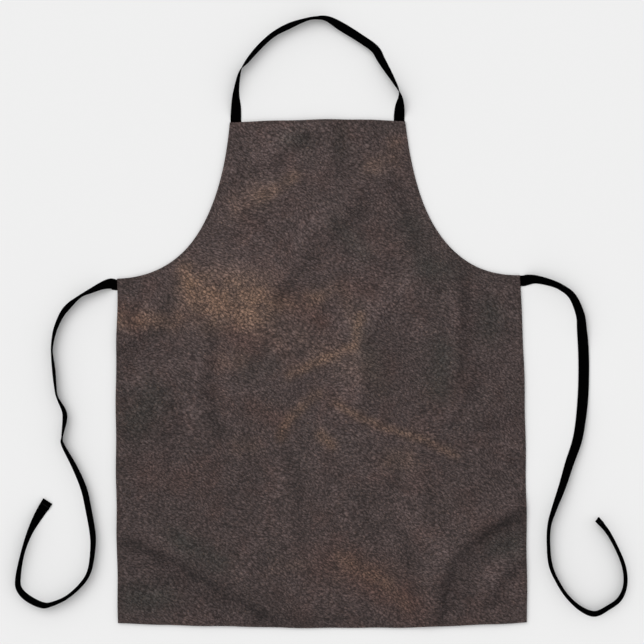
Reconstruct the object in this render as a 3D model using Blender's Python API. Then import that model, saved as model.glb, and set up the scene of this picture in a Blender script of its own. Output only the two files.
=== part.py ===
"""Welding apron laid flat: a hemmed leather panel, a fabric neck loop, two waist ties and their stitching.

Metres, +Z up. The grain side faces up, the back lies on z = 0, +Y runs towards the neck loop and the
origin is the middle of the panel's footprint. Each strap is cut where it leaves the panel: the tail is
sewn in behind the hem, and the free part swings about its seam.
"""

import math

import bmesh
import bpy
import numpy as np

# Panel
PANEL_HEIGHT = 0.760
HEM_LINE_WIDTH = 0.611
WAIST_WIDTH = 0.603
BIB_WIDTH = 0.262
SIDE_LENGTH = 0.5175
TOP_BOW = 0.0035
BOTTOM_BOW = 0.0070
ARMHOLE_DROP_HANDLE = 0.123
ARMHOLE_DROP_ANGLE = math.radians(5.8)
ARMHOLE_SIDE_HANDLE = 0.118
LEATHER = 0.0014
HEM_WIDTH = 0.012

# Straps
TAPE_WIDTH = 0.016
TAPE_THICKNESS = 0.0010
TAIL_LENGTH = 0.028
ROOT_STUB = 0.004
TAPE_TO_CORNER = 0.0010
HINGE_HEIGHT = 0.0022

# Stitching
THREAD_WIDTH = 0.0007
THREAD_HEIGHT = 0.0006
STITCH_INSET = 0.0035
SEAM_END_GAP = 0.0020
BOX_MARGIN = 0.0035
BOX_LENGTH = 0.0160
BOX_START = 0.0070
END_STITCH_MARGIN = 0.0025
END_STITCH_SETBACK = 0.0080

# Fits and fineness
CLEARANCE = 0.0003
ARMHOLE_STEPS = 18
BOW_STEPS = 6
NECK_SECTIONS = 66
TIE_SECTIONS = 78

# Routes of the free straps, each row ending in the tape's tilt in degrees: 0 is flat, 90 on its edge.
# The neck strap's rows start with x and the distance above its roots.
NECK_ROUTE = (
    (-0.1215, 0.0200, 22),
    (-0.1210, 0.0430, 58),
    (-0.1150, 0.0735, 84),
    (-0.1045, 0.0890, 112),
    (-0.0865, 0.1100, 122),
    (-0.0650, 0.1290, 123),
    (-0.0405, 0.1420, 128),
    (-0.0155, 0.1510, 112),
    (-0.0005, 0.1535, 112),
    (0.0160, 0.1520, 126),
    (0.0375, 0.1400, 149),
    (0.0665, 0.1215, 146),
    (0.0870, 0.1060, 146),
    (0.0965, 0.0890, 139),
    (0.1115, 0.0630, 118),
    (0.1210, 0.0450, 98),
    (0.1240, 0.0330, 68),
    (0.1230, 0.0180, 26),
)
# The ties' rows start with the distance out from the root and the rise above it.
LEFT_TIE_ROUTE = (
    (0.0090, 0.0020, 12),
    (0.0220, -0.0010, 42),
    (0.0400, -0.0090, 62),
    (0.0550, -0.0165, 73),
    (0.0725, -0.0310, 55),
    (0.0830, -0.0440, 58),
    (0.0925, -0.0650, 65),
    (0.0970, -0.0850, 73),
    (0.0980, -0.1000, 76),
    (0.0955, -0.1270, 68),
    (0.0935, -0.1510, 73),
    (0.0910, -0.1660, 76),
    (0.0810, -0.1870, 62),
    (0.0800, -0.2010, 61),
    (0.0840, -0.2260, 78),
    (0.0830, -0.2380, 68),
    (0.0660, -0.2710, 56),
    (0.0525, -0.3040, 50),
    (0.0455, -0.3370, 51),
    (0.0400, -0.3710, 52),
    (0.0400, -0.3940, 58),
    (0.0450, -0.4250, 65),
    (0.0565, -0.4450, 70),
    (0.0790, -0.4650, 74),
    (0.1025, -0.4755, 71),
    (0.1170, -0.4765, 62),
    (0.1380, -0.4660, 59),
    (0.1510, -0.4510, 65),
    (0.1515, -0.4320, 68),
    (0.1450, -0.4000, 75),
    (0.1345, -0.3700, 64),
    (0.1210, -0.3440, 37),
    (0.1070, -0.3220, 4),
)
RIGHT_TIE_ROUTE = (
    (0.0100, 0.0015, 14),
    (0.0210, 0.0020, 40),
    (0.0390, -0.0020, 52),
    (0.0580, -0.0095, 58),
    (0.0760, -0.0240, 52),
    (0.0875, -0.0510, 41),
    (0.0900, -0.0740, 28),
    (0.0920, -0.1010, 9),
    (0.0925, -0.1320, 5),
    (0.0910, -0.1710, 9),
    (0.0870, -0.2080, 25),
    (0.0810, -0.2400, 32),
    (0.0690, -0.2740, 42),
    (0.0580, -0.3080, 53),
    (0.0445, -0.3440, 68),
    (0.0380, -0.3660, 76),
    (0.0365, -0.3930, 77),
    (0.0395, -0.4250, 74),
    (0.0510, -0.4520, 74),
    (0.0660, -0.4740, 71),
    (0.0855, -0.4910, 62),
    (0.1050, -0.4980, 53),
    (0.1240, -0.4895, 56),
    (0.1420, -0.4760, 57),
    (0.1505, -0.4550, 62),
    (0.1490, -0.4290, 65),
    (0.1390, -0.4020, 68),
    (0.1245, -0.3750, 65),
    (0.1090, -0.3570, 61),
)

# Derived places
TOP_CORNER_Y = PANEL_HEIGHT / 2 - TOP_BOW
BOTTOM_CORNER_Y = BOTTOM_BOW - PANEL_HEIGHT / 2
WAIST_Y = BOTTOM_CORNER_Y + SIDE_LENGTH
PANEL_TOP_Z = 2 * LEATHER
NECK_STRAP_X = BIB_WIDTH / 2 - TAPE_TO_CORNER - TAPE_WIDTH / 2
TIE_Y = WAIST_Y - TAPE_TO_CORNER - TAPE_WIDTH / 2
BOX_WIDTH = TAPE_WIDTH - 2 * BOX_MARGIN


def top_edge_y(x):
    """The top edge is a parabola, TOP_BOW high between the bib's corners."""
    return PANEL_HEIGHT / 2 - TOP_BOW * (2 * x / BIB_WIDTH) ** 2


def side_edge_x(y):
    """The side edge is straight, from the waist's corner to the wider bottom corner."""
    share = (WAIST_Y - y) / SIDE_LENGTH
    return (WAIST_WIDTH + (HEM_LINE_WIDTH - WAIST_WIDTH) * share) / 2


NECK_ROOT_Y = top_edge_y(NECK_STRAP_X - TAPE_WIDTH / 2) + CLEARANCE
TIE_ROOT_X = side_edge_x(TIE_Y - TAPE_WIDTH / 2) + CLEARANCE


def clear_scene():
    for leftover in list(bpy.data.objects):
        bpy.data.objects.remove(leftover, do_unlink=True)


def material(name, colour, roughness):
    """A Principled material; colour is linear red, green, blue."""
    made = bpy.data.materials.new(name)
    made.use_nodes = True
    shader = made.node_tree.nodes["Principled BSDF"]
    shader.inputs["Base Color"].default_value = (*colour, 1.0)
    shader.inputs["Roughness"].default_value = roughness
    shader.inputs["Metallic"].default_value = 0.0
    return made


def add_object(name, mesh, look, origin=(0.0, 0.0, 0.0)):
    """Adds a mesh whose points are in world space, with the object's own origin at the given point."""
    mesh.materials.append(look)
    points = np.empty(len(mesh.vertices) * 3, np.float32)
    mesh.vertices.foreach_get("co", points)
    mesh.vertices.foreach_set("co", (points.reshape(-1, 3) - np.array(origin)).ravel())
    mesh.update()
    made = bpy.data.objects.new(name, mesh)
    made.location = origin
    bpy.context.scene.collection.objects.link(made)
    return made


def add_hinge(name, location):
    """An empty on a strap's seam: turning it swings the strap."""
    hinge = bpy.data.objects.new(name, None)
    hinge.empty_display_size = 0.03
    hinge.location = location
    bpy.context.scene.collection.objects.link(hinge)
    return hinge


def hang_on(hinge, piece):
    """Parents a piece to its hinge and keeps its place."""
    piece.parent = hinge
    piece.location = piece.location - hinge.location


def armhole_curve():
    """One Bezier from the bib's corner down and out to the waist's corner."""
    bib = np.array((BIB_WIDTH / 2, TOP_CORNER_Y))
    waist = np.array((WAIST_WIDTH / 2, WAIST_Y))
    down = np.array((math.sin(ARMHOLE_DROP_ANGLE), -math.cos(ARMHOLE_DROP_ANGLE)))
    drop_handle = bib + ARMHOLE_DROP_HANDLE * down
    side_handle = waist - (ARMHOLE_SIDE_HANDLE, 0.0)
    t = np.linspace(0.0, 1.0, ARMHOLE_STEPS + 1)[:, None]
    return (
        (1 - t) ** 3 * bib
        + 3 * (1 - t) ** 2 * t * drop_handle
        + 3 * (1 - t) * t**2 * side_handle
        + t**3 * waist
    )


def panel_edges():
    """The panel's six edges as point rows, anticlockwise from the bottom left corner."""
    across = np.linspace(-1.0, 1.0, 2 * BOW_STEPS + 1)
    bottom = np.column_stack(
        (across * HEM_LINE_WIDTH / 2, BOTTOM_CORNER_Y - BOTTOM_BOW * (1 - across**2))
    )
    top_x = -across * BIB_WIDTH / 2
    armhole = armhole_curve()
    mirror = np.array((-1.0, 1.0))
    side = np.array((bottom[-1], armhole[-1]))
    return {
        "bottom": bottom,
        "side_right": side,
        "armhole_right": armhole[::-1],
        "top": np.column_stack((top_x, top_edge_y(top_x))),
        "armhole_left": armhole * mirror,
        "side_left": side[::-1] * mirror,
    }


def inset_edges(distance):
    """The same edges moved inwards by a distance, with mitred corners."""
    edges = panel_edges()
    outline = np.concatenate([edge[:-1] for edge in edges.values()])
    ahead = np.roll(outline, -1, axis=0) - outline
    ahead /= np.linalg.norm(ahead, axis=1)[:, None]
    inward = np.column_stack((-ahead[:, 1], ahead[:, 0]))
    before = np.roll(inward, 1, axis=0)
    mitre = (inward + before) / (1 + (inward * before).sum(axis=1))[:, None]
    moved = outline + distance * mitre
    inset = {}
    start = 0
    for name, edge in edges.items():
        steps = np.arange(start, start + len(edge)) % len(moved)
        inset[name] = moved[steps]
        start += len(edge) - 1
    return inset


def prism(name, outline, low, high):
    """A closed prism over an anticlockwise outline."""
    form = bmesh.new()
    face = form.faces.new([form.verts.new((x, y, low)) for x, y in outline])
    raised = bmesh.ops.extrude_face_region(form, geom=[face])["geom"]
    raised = [item for item in raised if isinstance(item, bmesh.types.BMVert)]
    bmesh.ops.translate(form, verts=raised, vec=(0.0, 0.0, high - low))
    bmesh.ops.recalc_face_normals(form, faces=form.faces)
    mesh = bpy.data.meshes.new(name)
    form.to_mesh(mesh)
    form.free()
    return mesh


def add_cutter(name, outline, depth, look):
    """A hidden prism that cuts the panel's back to a depth above the table."""
    cutter = add_object(name, prism(name, outline, -0.002, depth), look)
    cutter.hide_render = True
    cutter.display_type = "WIRE"
    return cutter


def cut(target, cutter):
    modifier = target.modifiers.new(cutter.name, "BOOLEAN")
    modifier.operation = "DIFFERENCE"
    modifier.object = cutter


def rectangle(low_x, low_y, high_x, high_y):
    return ((low_x, low_y), (high_x, low_y), (high_x, high_y), (low_x, high_y))


def build_panel(look, hidden):
    """One skin of leather with its hem turned under all round, notched where the tape tails lie."""
    outline = np.concatenate([edge[:-1] for edge in panel_edges().values()])
    panel = add_object("apron_panel", prism("apron_panel", outline, 0.0, PANEL_TOP_Z), look)
    inner = np.concatenate([edge[:-1] for edge in inset_edges(HEM_WIDTH).values()])
    cut(panel, add_cutter("hem_recess_cutter", inner, LEATHER, hidden))
    depth = TAPE_THICKNESS + CLEARANCE
    beyond = 2 * HEM_WIDTH
    tape_side = TAPE_WIDTH / 2 + CLEARANCE
    neck_inner = NECK_STRAP_X - tape_side
    neck_foot = NECK_ROOT_Y - 2 * CLEARANCE - TAIL_LENGTH
    tie_foot = TIE_ROOT_X - 2 * CLEARANCE - TAIL_LENGTH
    tie_low = TIE_Y - tape_side
    tie_top = WAIST_Y + beyond
    neck = rectangle(neck_inner, neck_foot, NECK_STRAP_X + beyond, NECK_ROOT_Y + beyond)
    tie = rectangle(tie_foot, tie_low, TIE_ROOT_X + beyond, tie_top)
    for side, sign in (("left", -1), ("right", 1)):
        for strap, notch in (("neck_strap", neck), ("waist_tie", tie)):
            placed = [(sign * x, y) for x, y in notch][::sign]
            cut(panel, add_cutter(f"{strap}_notch_cutter_{side}", placed, depth, hidden))
    return panel


def smooth_route(route, sections):
    """Points evenly spaced along a Catmull-Rom curve through a route's own points."""
    knots = np.array(route, float)
    padded = np.vstack((2 * knots[0] - knots[1], knots, 2 * knots[-1] - knots[-2]))
    share = np.linspace(0.0, 1.0, 24, endpoint=False)[:, None]
    runs = []
    for step in range(len(knots) - 1):
        a, b, c, d = padded[step : step + 4]
        bend = (2 * a - 5 * b + 4 * c - d) * share**2 + (3 * b - a - 3 * c + d) * share**3
        runs.append(b + 0.5 * ((c - a) * share + bend))
    fine = np.vstack((*runs, knots[-1]))
    walked = np.concatenate(
        ([0.0], np.cumsum(np.linalg.norm(np.diff(fine[:, :2], axis=0), axis=1)))
    )
    stops = np.linspace(0.0, walked[-1], sections)
    return np.column_stack([np.interp(stops, walked, column) for column in fine.T])


def tape_frames(centres, tilts, square_ends=()):
    """The tape's running, width and face directions at each point, tilted about its length.

    square_ends holds (row, direction) pairs for the ends that leave the panel square to its edge.
    """
    along = np.gradient(centres, axis=0)
    for row, direction in square_ends:
        along[row] = direction
    along /= np.linalg.norm(along, axis=1)[:, None]
    level = np.cross((0.0, 0.0, 1.0), along)
    level /= np.linalg.norm(level, axis=1)[:, None]
    up = np.cross(along, level)
    turn = np.radians(tilts)[:, None]
    across = np.cos(turn) * level + np.sin(turn) * up
    return along, across, np.cross(along, across)


def resting_heights(tilts, width, thickness):
    """How high a tilted tape's middle is when its lowest corner touches the table."""
    turn = np.radians(tilts)
    return (np.abs(np.sin(turn)) * width + np.abs(np.cos(turn)) * thickness) / 2


def sweep(name, centres, tilts, width, thickness, square_ends=()):
    """A closed flat bar: one rectangle of width by thickness carried along the centre line."""
    _, across, face = tape_frames(centres, tilts, square_ends)
    half_width = across * width / 2
    half_thick = face * thickness / 2
    ring = (
        centres - half_width - half_thick,
        centres + half_width - half_thick,
        centres + half_width + half_thick,
        centres - half_width + half_thick,
    )
    points = np.stack(ring, axis=1).reshape(-1, 3)
    count = len(centres)
    faces = [(0, 1, 2, 3), tuple(4 * (count - 1) + side for side in (3, 2, 1, 0))]
    for step in range(count - 1):
        here = 4 * step
        for side in range(4):
            after = (side + 1) % 4
            faces.append((here + side, here + 4 + side, here + 4 + after, here + after))
    form = bmesh.new()
    corners = [form.verts.new(point) for point in points]
    for loop in faces:
        form.faces.new([corners[index] for index in loop])
    bmesh.ops.recalc_face_normals(form, faces=form.faces)
    mesh = bpy.data.meshes.new(name)
    form.to_mesh(mesh)
    form.free()
    return mesh


def build_strap(name, route, sections, square_ends, look, hinge):
    """A free strap that rests on the table along its route; it returns its centre line and tilts."""
    line = smooth_route(route, sections)
    tilts = line[:, 2]
    heights = resting_heights(tilts, TAPE_WIDTH, TAPE_THICKNESS)
    centres = np.column_stack((line[:, :2], heights))
    mesh = sweep(name, centres, tilts, TAPE_WIDTH, TAPE_THICKNESS, square_ends)
    hang_on(hinge, add_object(name, mesh, look, hinge.location))
    return centres, tilts


def build_end_stitch(name, centres, tilts, look, hinge):
    """A row of thread across the tape, just above its face and a little way in from its tip."""
    _, across, face = tape_frames(centres, tilts)
    walked = np.cumsum(np.linalg.norm(np.diff(centres[::-1], axis=0), axis=1))
    row = len(centres) - 2 - int(np.searchsorted(walked, END_STITCH_SETBACK))
    lifted = centres[row] + face[row] * (TAPE_THICKNESS / 2 + CLEARANCE + THREAD_HEIGHT / 2)
    reach = across[row] * (TAPE_WIDTH / 2 - END_STITCH_MARGIN)
    ends = np.array((lifted - reach, lifted + reach))
    along = ends[1] - ends[0]
    level = np.cross((0.0, 0.0, 1.0), along)
    up = np.cross(along, level / np.linalg.norm(level))
    up /= np.linalg.norm(up)
    lean = math.degrees(math.atan2(np.dot(face[row], level / np.linalg.norm(level)), np.dot(face[row], up)))
    mesh = sweep(name, ends, np.array((-lean, -lean)), THREAD_WIDTH, THREAD_HEIGHT)
    hang_on(hinge, add_object(name, mesh, look, hinge.location))


def build_tail(name, start, end, look):
    """The sewn end of a strap, flat behind the hem."""
    line = np.array(((*start, TAPE_THICKNESS / 2), (*end, TAPE_THICKNESS / 2)))
    add_object(name, sweep(name, line, np.zeros(2), TAPE_WIDTH, TAPE_THICKNESS), look)


def trimmed(path, distance):
    """A point row shortened by a distance at both ends."""
    walked = np.concatenate(([0.0], np.cumsum(np.linalg.norm(np.diff(path, axis=0), axis=1))))
    stops = walked[(walked > distance) & (walked < walked[-1] - distance)]
    stops = np.concatenate(([distance], stops, [walked[-1] - distance]))
    return np.column_stack([np.interp(stops, walked, column) for column in path.T])


def build_seams(look):
    """One row of thread inside each edge of the panel, just above its face."""
    height = PANEL_TOP_Z + CLEARANCE + THREAD_HEIGHT / 2
    for edge, path in inset_edges(STITCH_INSET).items():
        line = trimmed(path, SEAM_END_GAP)
        centres = np.column_stack((line, np.full(len(line), height)))
        name = f"hem_seam_{edge}"
        mesh = sweep(name, centres, np.zeros(len(line)), THREAD_WIDTH, THREAD_HEIGHT)
        add_object(name, mesh, look)


def build_box_stitch(name, centre, length_along_y, look):
    """A sewn rectangle with its two diagonals, cut as one plate with four three-cornered holes."""
    half_long = BOX_LENGTH / 2
    half_wide = BOX_WIDTH / 2
    long_in = half_long - THREAD_WIDTH
    wide_in = half_wide - THREAD_WIDTH
    diagonal = math.hypot(long_in, wide_in)
    long_apex = THREAD_WIDTH / 2 * diagonal / wide_in
    wide_apex = THREAD_WIDTH / 2 * diagonal / long_in
    end_hole = ((0.0, long_apex), (wide_in - wide_apex, long_in), (wide_apex - wide_in, long_in))
    side_hole = ((wide_apex, 0.0), (wide_in, long_apex - long_in), (wide_in, long_in - long_apex))
    loops = [rectangle(-half_wide, -half_long, half_wide, half_long)]
    for hole in (end_hole, side_hole):
        loops += [hole, [(-x, -y) for x, y in hole]]
    low = PANEL_TOP_Z + CLEARANCE
    form = bmesh.new()
    edges = []
    for loop in loops:
        placed = loop if length_along_y else [(y, -x) for x, y in loop]
        corners = [form.verts.new((centre[0] + x, centre[1] + y, low)) for x, y in placed]
        for first, second in zip(corners, corners[1:] + corners[:1]):
            edges.append(form.edges.new((first, second)))
    bmesh.ops.triangle_fill(form, edges=edges, use_beauty=True)
    raised = bmesh.ops.extrude_face_region(form, geom=list(form.faces))["geom"]
    raised = [item for item in raised if isinstance(item, bmesh.types.BMVert)]
    bmesh.ops.translate(form, verts=raised, vec=(0.0, 0.0, THREAD_HEIGHT))
    bmesh.ops.recalc_face_normals(form, faces=form.faces)
    mesh = bpy.data.meshes.new(name)
    form.to_mesh(mesh)
    form.free()
    add_object(name, mesh, look)


def build_neck_loop(tape, thread):
    """The neck strap, its two sewn tails and the box stitches that hold them."""
    hinge = add_hinge("neck_loop_hinge", (0.0, NECK_ROOT_Y, HINGE_HEIGHT))
    route = (
        (-NECK_STRAP_X, NECK_ROOT_Y, 0.0),
        (-NECK_STRAP_X, NECK_ROOT_Y + ROOT_STUB, 0.0),
        *((x, NECK_ROOT_Y + rise, tilt) for x, rise, tilt in NECK_ROUTE),
        (NECK_STRAP_X, NECK_ROOT_Y + ROOT_STUB, 0.0),
        (NECK_STRAP_X, NECK_ROOT_Y, 0.0),
    )
    square_ends = ((0, (0.0, 1.0, 0.0)), (-1, (0.0, -1.0, 0.0)))
    build_strap("neck_strap", route, NECK_SECTIONS, square_ends, tape, hinge)
    tail_top = NECK_ROOT_Y - CLEARANCE
    for side, sign in (("left", -1), ("right", 1)):
        x = sign * NECK_STRAP_X
        build_tail(f"neck_strap_tail_{side}", (x, tail_top), (x, tail_top - TAIL_LENGTH), tape)
        middle = (x, TOP_CORNER_Y - BOX_START - BOX_LENGTH / 2)
        build_box_stitch(f"neck_box_stitch_{side}", middle, True, thread)


def build_waist_ties(tape, thread):
    """Both waist ties, their sewn tails, box stitches and end stitches."""
    for side, sign, free in (("left", -1, LEFT_TIE_ROUTE), ("right", 1, RIGHT_TIE_ROUTE)):
        hinge = add_hinge(f"tie_{side}_hinge", (sign * TIE_ROOT_X, TIE_Y, HINGE_HEIGHT))
        root_x = sign * TIE_ROOT_X
        route = (
            (root_x, TIE_Y, 0.0),
            (root_x + sign * ROOT_STUB, TIE_Y, 0.0),
            *((root_x + sign * out, TIE_Y + rise, tilt) for out, rise, tilt in free),
        )
        square_ends = ((0, (sign, 0.0, 0.0)),)
        name = f"waist_tie_{side}"
        centres, tilts = build_strap(name, route, TIE_SECTIONS, square_ends, tape, hinge)
        build_end_stitch(f"tie_end_stitch_{side}", centres, tilts, thread, hinge)
        tail_end = sign * (TIE_ROOT_X - CLEARANCE)
        tail_start = tail_end - sign * TAIL_LENGTH
        build_tail(f"waist_tie_tail_{side}", (tail_end, TIE_Y), (tail_start, TIE_Y), tape)
        middle = (sign * (side_edge_x(TIE_Y) - BOX_START - BOX_LENGTH / 2), TIE_Y)
        build_box_stitch(f"tie_box_stitch_{side}", middle, False, thread)


def main():
    clear_scene()
    leather = material("brown_leather", (0.070, 0.052, 0.047), 0.72)
    tape = material("black_tape", (0.004, 0.004, 0.004), 0.85)
    thread = material("dark_thread", (0.020, 0.014, 0.012), 0.70)
    cutter_look = material("cutter", (0.8, 0.1, 0.1), 0.5)
    build_panel(leather, cutter_look)
    build_seams(thread)
    build_neck_loop(tape, thread)
    build_waist_ties(tape, thread)


if __name__ == "__main__":
    main()
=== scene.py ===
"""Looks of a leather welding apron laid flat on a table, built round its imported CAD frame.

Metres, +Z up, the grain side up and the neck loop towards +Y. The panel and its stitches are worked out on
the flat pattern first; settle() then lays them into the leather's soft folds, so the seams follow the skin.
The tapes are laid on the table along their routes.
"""

import math

import bpy
import numpy as np
from bpy.props import FloatProperty, FloatVectorProperty, PointerProperty
from bpy.types import Operator, Panel, PropertyGroup
from mathutils import Matrix, Vector


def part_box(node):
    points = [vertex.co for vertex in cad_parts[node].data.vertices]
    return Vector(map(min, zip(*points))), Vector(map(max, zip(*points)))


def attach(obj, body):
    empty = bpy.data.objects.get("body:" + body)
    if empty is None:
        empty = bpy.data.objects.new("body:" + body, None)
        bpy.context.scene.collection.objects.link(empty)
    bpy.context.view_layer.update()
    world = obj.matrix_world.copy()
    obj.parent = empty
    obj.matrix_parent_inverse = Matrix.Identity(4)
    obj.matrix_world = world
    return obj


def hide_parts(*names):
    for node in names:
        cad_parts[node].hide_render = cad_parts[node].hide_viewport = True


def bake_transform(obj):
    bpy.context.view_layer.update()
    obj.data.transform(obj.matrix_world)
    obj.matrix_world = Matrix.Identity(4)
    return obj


bl_info = {
    "name": "Welding apron",
    "version": (1, 0, 0),
    "blender": (4, 5, 0),
    "location": "3D View > Sidebar > Apron",
    "description": "A hemmed leather welding apron with a neck loop and two waist ties",
    "category": "Add Mesh",
}

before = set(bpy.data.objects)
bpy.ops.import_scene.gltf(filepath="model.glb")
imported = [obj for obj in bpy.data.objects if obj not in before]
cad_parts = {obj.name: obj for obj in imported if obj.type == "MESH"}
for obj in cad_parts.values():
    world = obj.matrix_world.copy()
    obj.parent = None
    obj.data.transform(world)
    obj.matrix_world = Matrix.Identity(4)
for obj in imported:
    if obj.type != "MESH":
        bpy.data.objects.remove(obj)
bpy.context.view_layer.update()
PANEL_LOW, PANEL_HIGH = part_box("apron_panel")
NECK_TAIL_LOW, NECK_TAIL_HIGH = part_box("neck_strap_tail_right")
TIE_TAIL_LOW, TIE_TAIL_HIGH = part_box("waist_tie_tail_right")

# Places that come from the frame
PANEL_WIDTH = PANEL_HIGH[0] - PANEL_LOW[0]
PANEL_TOP_Y = PANEL_HIGH[1]
TAPE_WIDTH = NECK_TAIL_HIGH[0] - NECK_TAIL_LOW[0]
TAIL_LENGTH = NECK_TAIL_HIGH[1] - NECK_TAIL_LOW[1]
NECK_X = (NECK_TAIL_LOW[0] + NECK_TAIL_HIGH[0]) / 2
NECK_ROOT_Y = NECK_TAIL_HIGH[1]
TIE_Y = (TIE_TAIL_LOW[1] + TIE_TAIL_HIGH[1]) / 2
TIE_ROOT_X = TIE_TAIL_HIGH[0]

# The flat pattern's outline
WAIST_WIDTH = 0.603
BIB_WIDTH = 0.262
SIDE_LENGTH = 0.5175
TOP_BOW = 0.0035
BOTTOM_BOW = 0.0070
ARMHOLE_DROP_HANDLE = 0.123
ARMHOLE_DROP_ANGLE = math.radians(5.8)
ARMHOLE_SIDE_HANDLE = 0.118
TOP_CORNER_Y = PANEL_TOP_Y - TOP_BOW
BOTTOM_CORNER_Y = PANEL_LOW[1] + BOTTOM_BOW
WAIST_Y = BOTTOM_CORNER_Y + SIDE_LENGTH

# Fineness of the panel's grid. The columns under the bib run on up to the top edge; those beside it
# end on the lower stretch of the armholes, which is as level as it is steep.
BIB_COLUMNS = 96
WAIST_COLUMNS = 30
COLUMNS = BIB_COLUMNS + 2 * WAIST_COLUMNS
SIDE_ROWS = 128
BIB_ROWS = 50
ARMHOLE_ROWS = WAIST_COLUMNS + BIB_ROWS

# Box stitches, measured in from the hem's edge
BOX_START = 0.0070
BOX_LENGTH = 0.0160
BOX_WIDTH = 0.0090
BOX_PITCH_SHARE = 0.85
BOX_BACK_HEIGHT = 0.00045
HEM_BACK_HEIGHT = 0.00052
SEAT_IN_LEATHER = 0.00010
HEM_RUN_MARGIN = 0.0006
SHARE_OF_PITCH_SEWN = 0.90

# How the hem rides over a sewn tail
TAIL_MARGIN = 0.003
TAIL_SOFTNESS = 0.006
TAIL_GAP = 0.0001

# How a strap is laid, and how its tip is folded and stitched
STRAP_SPACING = 0.0025
TABLE_GAP = 0.00005
TIP_ROW_SETBACK = 0.004
TIP_ROW_MARGIN = 0.0015
TIP_FOLD_SLOPE = 0.0012
TIP_FOLD_LAYERS = 0.9

# Free straps, each row ending in the tape's tilt in degrees: 0 is flat, 90 on its edge.
# The neck strap's rows start with x and the distance above its roots.
NECK_ROUTE = (
    (-0.1215, 0.0200, 22),
    (-0.1210, 0.0430, 58),
    (-0.1150, 0.0735, 84),
    (-0.1045, 0.0890, 112),
    (-0.0865, 0.1100, 122),
    (-0.0650, 0.1290, 123),
    (-0.0405, 0.1420, 128),
    (-0.0155, 0.1510, 112),
    (-0.0005, 0.1535, 112),
    (0.0160, 0.1520, 126),
    (0.0375, 0.1400, 149),
    (0.0665, 0.1215, 146),
    (0.0870, 0.1060, 146),
    (0.0965, 0.0890, 139),
    (0.1115, 0.0630, 118),
    (0.1210, 0.0450, 98),
    (0.1240, 0.0330, 68),
    (0.1230, 0.0180, 26),
)
# The ties' rows start with the distance out from the root and the rise above it.
LEFT_TIE_ROUTE = (
    (0.0090, 0.0020, 12),
    (0.0220, -0.0010, 42),
    (0.0400, -0.0090, 62),
    (0.0550, -0.0165, 73),
    (0.0725, -0.0310, 55),
    (0.0830, -0.0440, 58),
    (0.0925, -0.0650, 65),
    (0.0970, -0.0850, 73),
    (0.0980, -0.1000, 76),
    (0.0955, -0.1270, 68),
    (0.0935, -0.1510, 73),
    (0.0910, -0.1660, 76),
    (0.0810, -0.1870, 62),
    (0.0800, -0.2010, 61),
    (0.0840, -0.2260, 78),
    (0.0830, -0.2380, 68),
    (0.0660, -0.2710, 56),
    (0.0525, -0.3040, 50),
    (0.0455, -0.3370, 51),
    (0.0400, -0.3710, 52),
    (0.0400, -0.3940, 58),
    (0.0450, -0.4250, 65),
    (0.0565, -0.4450, 70),
    (0.0790, -0.4650, 74),
    (0.1025, -0.4755, 71),
    (0.1170, -0.4765, 62),
    (0.1380, -0.4660, 59),
    (0.1510, -0.4510, 65),
    (0.1515, -0.4320, 68),
    (0.1450, -0.4000, 75),
    (0.1345, -0.3700, 64),
    (0.1210, -0.3440, 37),
    (0.1070, -0.3220, 4),
)
RIGHT_TIE_ROUTE = (
    (0.0100, 0.0015, 14),
    (0.0210, 0.0020, 40),
    (0.0390, -0.0020, 52),
    (0.0580, -0.0095, 58),
    (0.0760, -0.0240, 52),
    (0.0875, -0.0510, 41),
    (0.0900, -0.0740, 28),
    (0.0920, -0.1010, 9),
    (0.0925, -0.1320, 5),
    (0.0910, -0.1710, 9),
    (0.0870, -0.2080, 25),
    (0.0810, -0.2400, 32),
    (0.0690, -0.2740, 42),
    (0.0580, -0.3080, 53),
    (0.0445, -0.3440, 68),
    (0.0380, -0.3660, 76),
    (0.0365, -0.3930, 77),
    (0.0395, -0.4250, 74),
    (0.0510, -0.4520, 74),
    (0.0660, -0.4740, 71),
    (0.0855, -0.4910, 62),
    (0.1050, -0.4980, 53),
    (0.1240, -0.4895, 56),
    (0.1420, -0.4760, 57),
    (0.1505, -0.4550, 62),
    (0.1490, -0.4290, 65),
    (0.1390, -0.4020, 68),
    (0.1245, -0.3750, 65),
    (0.1090, -0.3570, 61),
)
ROOT_STUB = 0.004

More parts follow.
